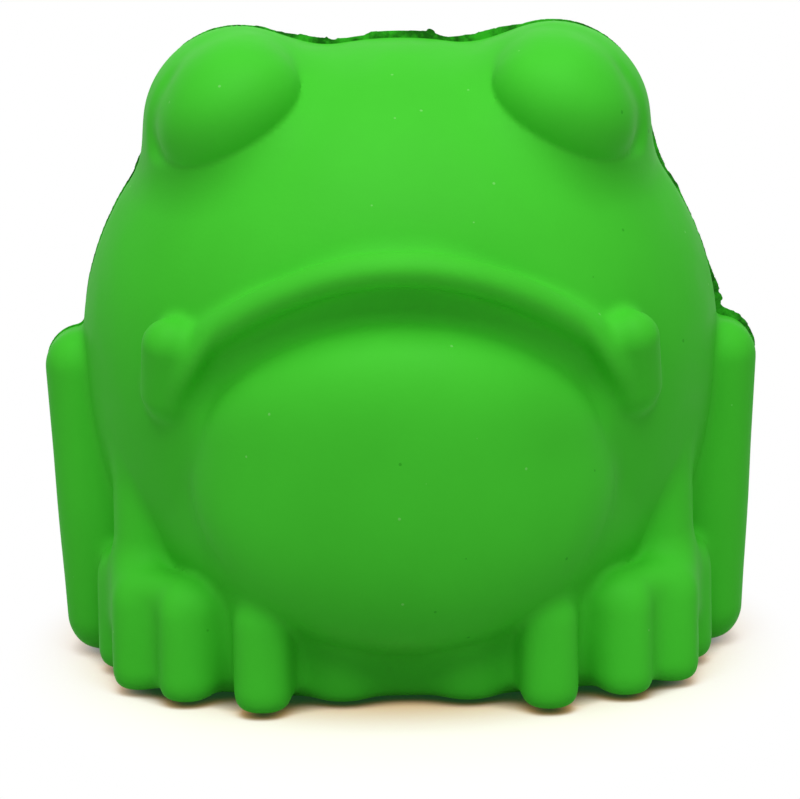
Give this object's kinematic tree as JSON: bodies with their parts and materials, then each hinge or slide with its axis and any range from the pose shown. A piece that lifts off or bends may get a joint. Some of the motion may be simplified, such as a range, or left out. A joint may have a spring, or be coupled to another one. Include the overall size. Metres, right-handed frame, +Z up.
{
  "type": "frog chew toy",
  "caption": "Squat moulded rubber frog for a dog to chew, with bulging eyes, a drooping lip, a round throat pouch, a hollow body and a squeaker in its back.",
  "frame": {"origin": "middle of the underside of the feet, on the floor", "axes": "+X to the right of someone who faces the frog, -Y the way the frog faces, +Z up"},
  "size_m": [0.101, 0.085, 0.0897],
  "materials": {
    "rubber": "matte moulded rubber, mid green, with a broad soft sheen",
    "cement": "cured rubber cement, amber and slightly cloudy",
    "white_plastic": "white injection moulded plastic",
    "reed_film": "thin plastic film, slightly yellow"
  },
  "bodies": {
    "toy": {"front_shell": "rubber", "rear_shell": "rubber", "seam_bond": "cement", "squeaker_cup": "white_plastic", "squeaker_reed_seat": "white_plastic", "squeaker_cap": "white_plastic"},
    "reed": {"squeaker_reed": "reed_film"}
  },
  "joints": [
    {"name": "reed_flutter", "type": "hinge", "parent": "toy", "child": "reed", "pos_m": [0, 0.0292, 0.0434], "axis": [1, 0, 0], "range_deg": [-4, 5], "stiffness_Nm_per_rad": 0.0002}
  ]
}
